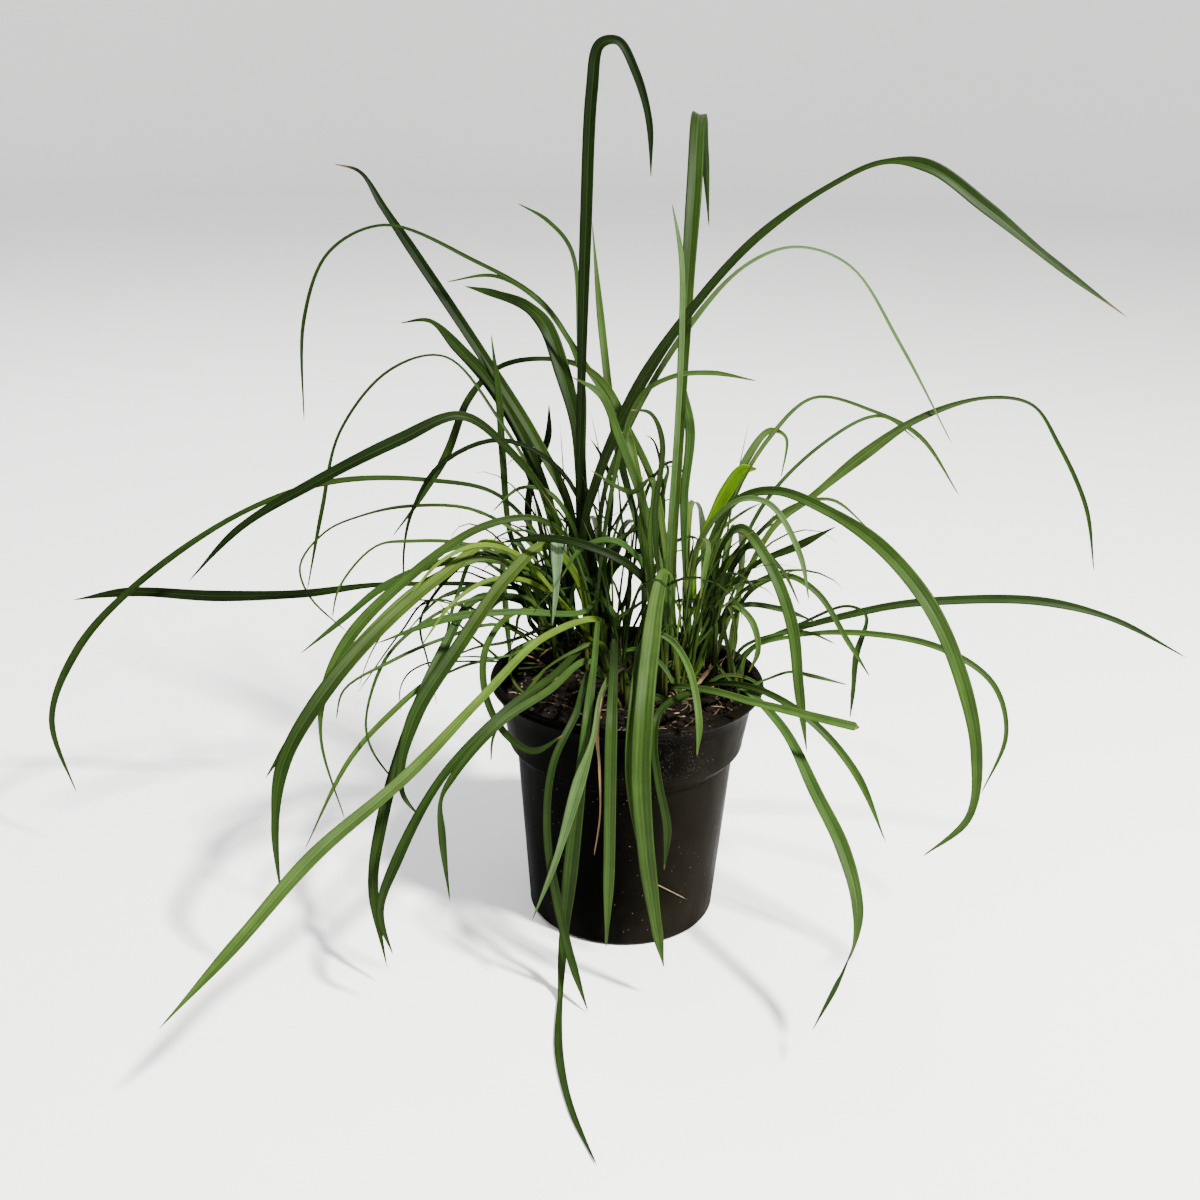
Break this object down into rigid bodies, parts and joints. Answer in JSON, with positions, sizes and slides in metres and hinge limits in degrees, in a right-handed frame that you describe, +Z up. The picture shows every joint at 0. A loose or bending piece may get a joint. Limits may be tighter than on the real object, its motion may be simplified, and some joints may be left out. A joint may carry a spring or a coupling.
{
  "type": "potted lemongrass",
  "caption": "Clump of long arching lemongrass leaves rising from soil in a round black nursery pot that tapers and has a wide collar and a rolled lip.",
  "frame": {"origin": "on the floor at the pot's axis, in the middle of the pot's flat underside", "axes": "+Z up along the pot's axis; +X to the right in the picture, along the leaves' widest spread; -Y towards the viewer of the picture"},
  "size_m": [0.9438, 0.5918, 0.6876],
  "materials": {
    "pot_plastic": "black, slightly glossy, dusty",
    "soil_mix": "dark peat with bark chips and fibres, matt",
    "leaf_light": "fresh leaf, satin, lengthwise veins",
    "leaf_mid": "fresh leaf, satin, lengthwise veins",
    "leaf_dark": "fresh leaf in shade, satin, lengthwise veins",
    "leaf_bright": "yellow-green leaf, satin",
    "stem_green": "green sheath, paler and reddish at the foot, satin"
  },
  "bodies": {
    "root": {"pot": "pot_plastic", "soil": "soil_mix", "leaf_tall_left": "leaf_dark", "leaf_tall_right": "leaf_light", "leaf_tall_right_slim": "leaf_bright", "leaf_right_high_arch": "leaf_dark", "leaf_right_high_thin": "leaf_mid", "leaf_upper_left_straight": "leaf_mid", "leaf_left_high_thin": "leaf_mid", "leaf_left_mid": "leaf_dark", "leaf_left_broad": "leaf_dark", "leaf_left_far": "leaf_dark", "leaf_left_level": "leaf_dark", "leaf_front_folded": "leaf_light", "leaf_front_left_long": "leaf_bright", "leaf_front_left_broad": "leaf_light", "leaf_front_left_mid": "leaf_light", "leaf_front_left_low": "leaf_mid", "leaf_front_left_ribbed": "leaf_mid", "leaf_front_left_curl": "leaf_mid", "leaf_front_right_small": "leaf_mid", "leaf_front_broad": "leaf_mid", "leaf_front_pair": "leaf_mid", "leaf_front_centre": "leaf_light", "leaf_front_trailing": "leaf_light", "leaf_front_bowed": "leaf_mid", "leaf_right_bow": "leaf_light", "leaf_left_loop": "leaf_mid", "leaf_right_arch_broad": "leaf_light", "leaf_right_hanging": "leaf_mid", "leaf_right_level": "leaf_mid", "leaf_right_drooping": "leaf_mid", "leaf_lower_right_long": "leaf_mid", "leaf_lower_right_arch": "leaf_mid", "leaf_right_cut": "leaf_dark", "leaf_right_far": "leaf_mid", "leaf_right_thin_crest": "leaf_light", "leaf_short_bright": "leaf_bright", "leaf_right_curl": "leaf_light", "leaf_right_light_arch": "leaf_light", "leaf_right_low_arch": "leaf_mid", "leaf_right_drop": "leaf_light", "leaf_right_dark_tip": "leaf_dark", "leaf_upper_left_wide": "leaf_dark", "leaf_upper_left_bent": "leaf_dark", "leaf_middle_tip": "leaf_mid", "leaf_middle_cross": "leaf_light", "leaf_middle_crest": "leaf_dark", "leaf_middle_light": "leaf_light", "leaf_left_thin_arch": "leaf_mid", "leaf_middle_level": "leaf_dark", "stem_left_front": "stem_green", "stem_left_back": "stem_green", "stem_middle_left": "stem_green", "stem_middle_right": "stem_green", "stem_front": "stem_green", "stem_right_front": "stem_green", "stem_right_back": "stem_green", "stem_rear": "stem_green", "stem_edge": "stem_green"}
  },
  "joints": []
}
